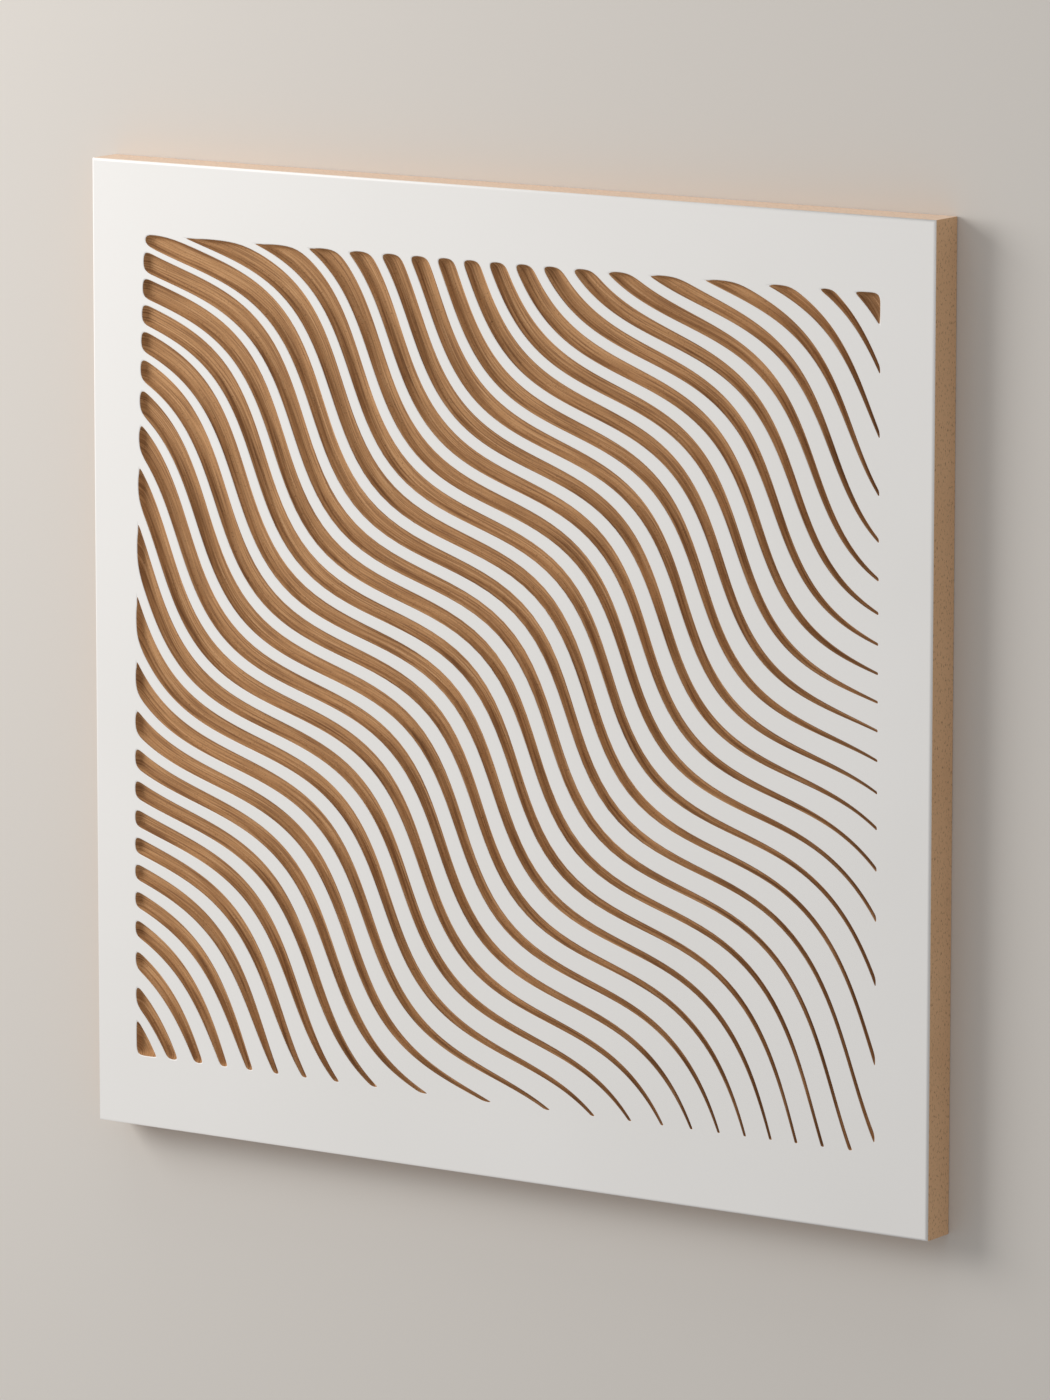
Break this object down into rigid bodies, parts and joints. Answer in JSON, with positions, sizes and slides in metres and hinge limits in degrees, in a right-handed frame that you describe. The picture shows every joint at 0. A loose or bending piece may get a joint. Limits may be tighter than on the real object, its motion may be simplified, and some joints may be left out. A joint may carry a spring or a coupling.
{
  "type": "carved decorative panel",
  "caption": "Square white-faced fibreboard panel with a carved field of diagonal wave grooves that narrow towards the lower right, for cladding a wall, door or cabinet front.",
  "frame": {"origin": "centre of the plain back face, on which the panel lies", "axes": "+Z out of the carved face, +Y towards the panel's top, +X towards its right as seen from the front"},
  "size_m": [0.6, 0.6, 0.025],
  "materials": {
    "faced_fibreboard": "satin white lacquer on the face, bare brown fibreboard in the grooves, on the edges and on the back"
  },
  "bodies": {
    "root": {"carved_panel": "faced_fibreboard"}
  },
  "joints": []
}
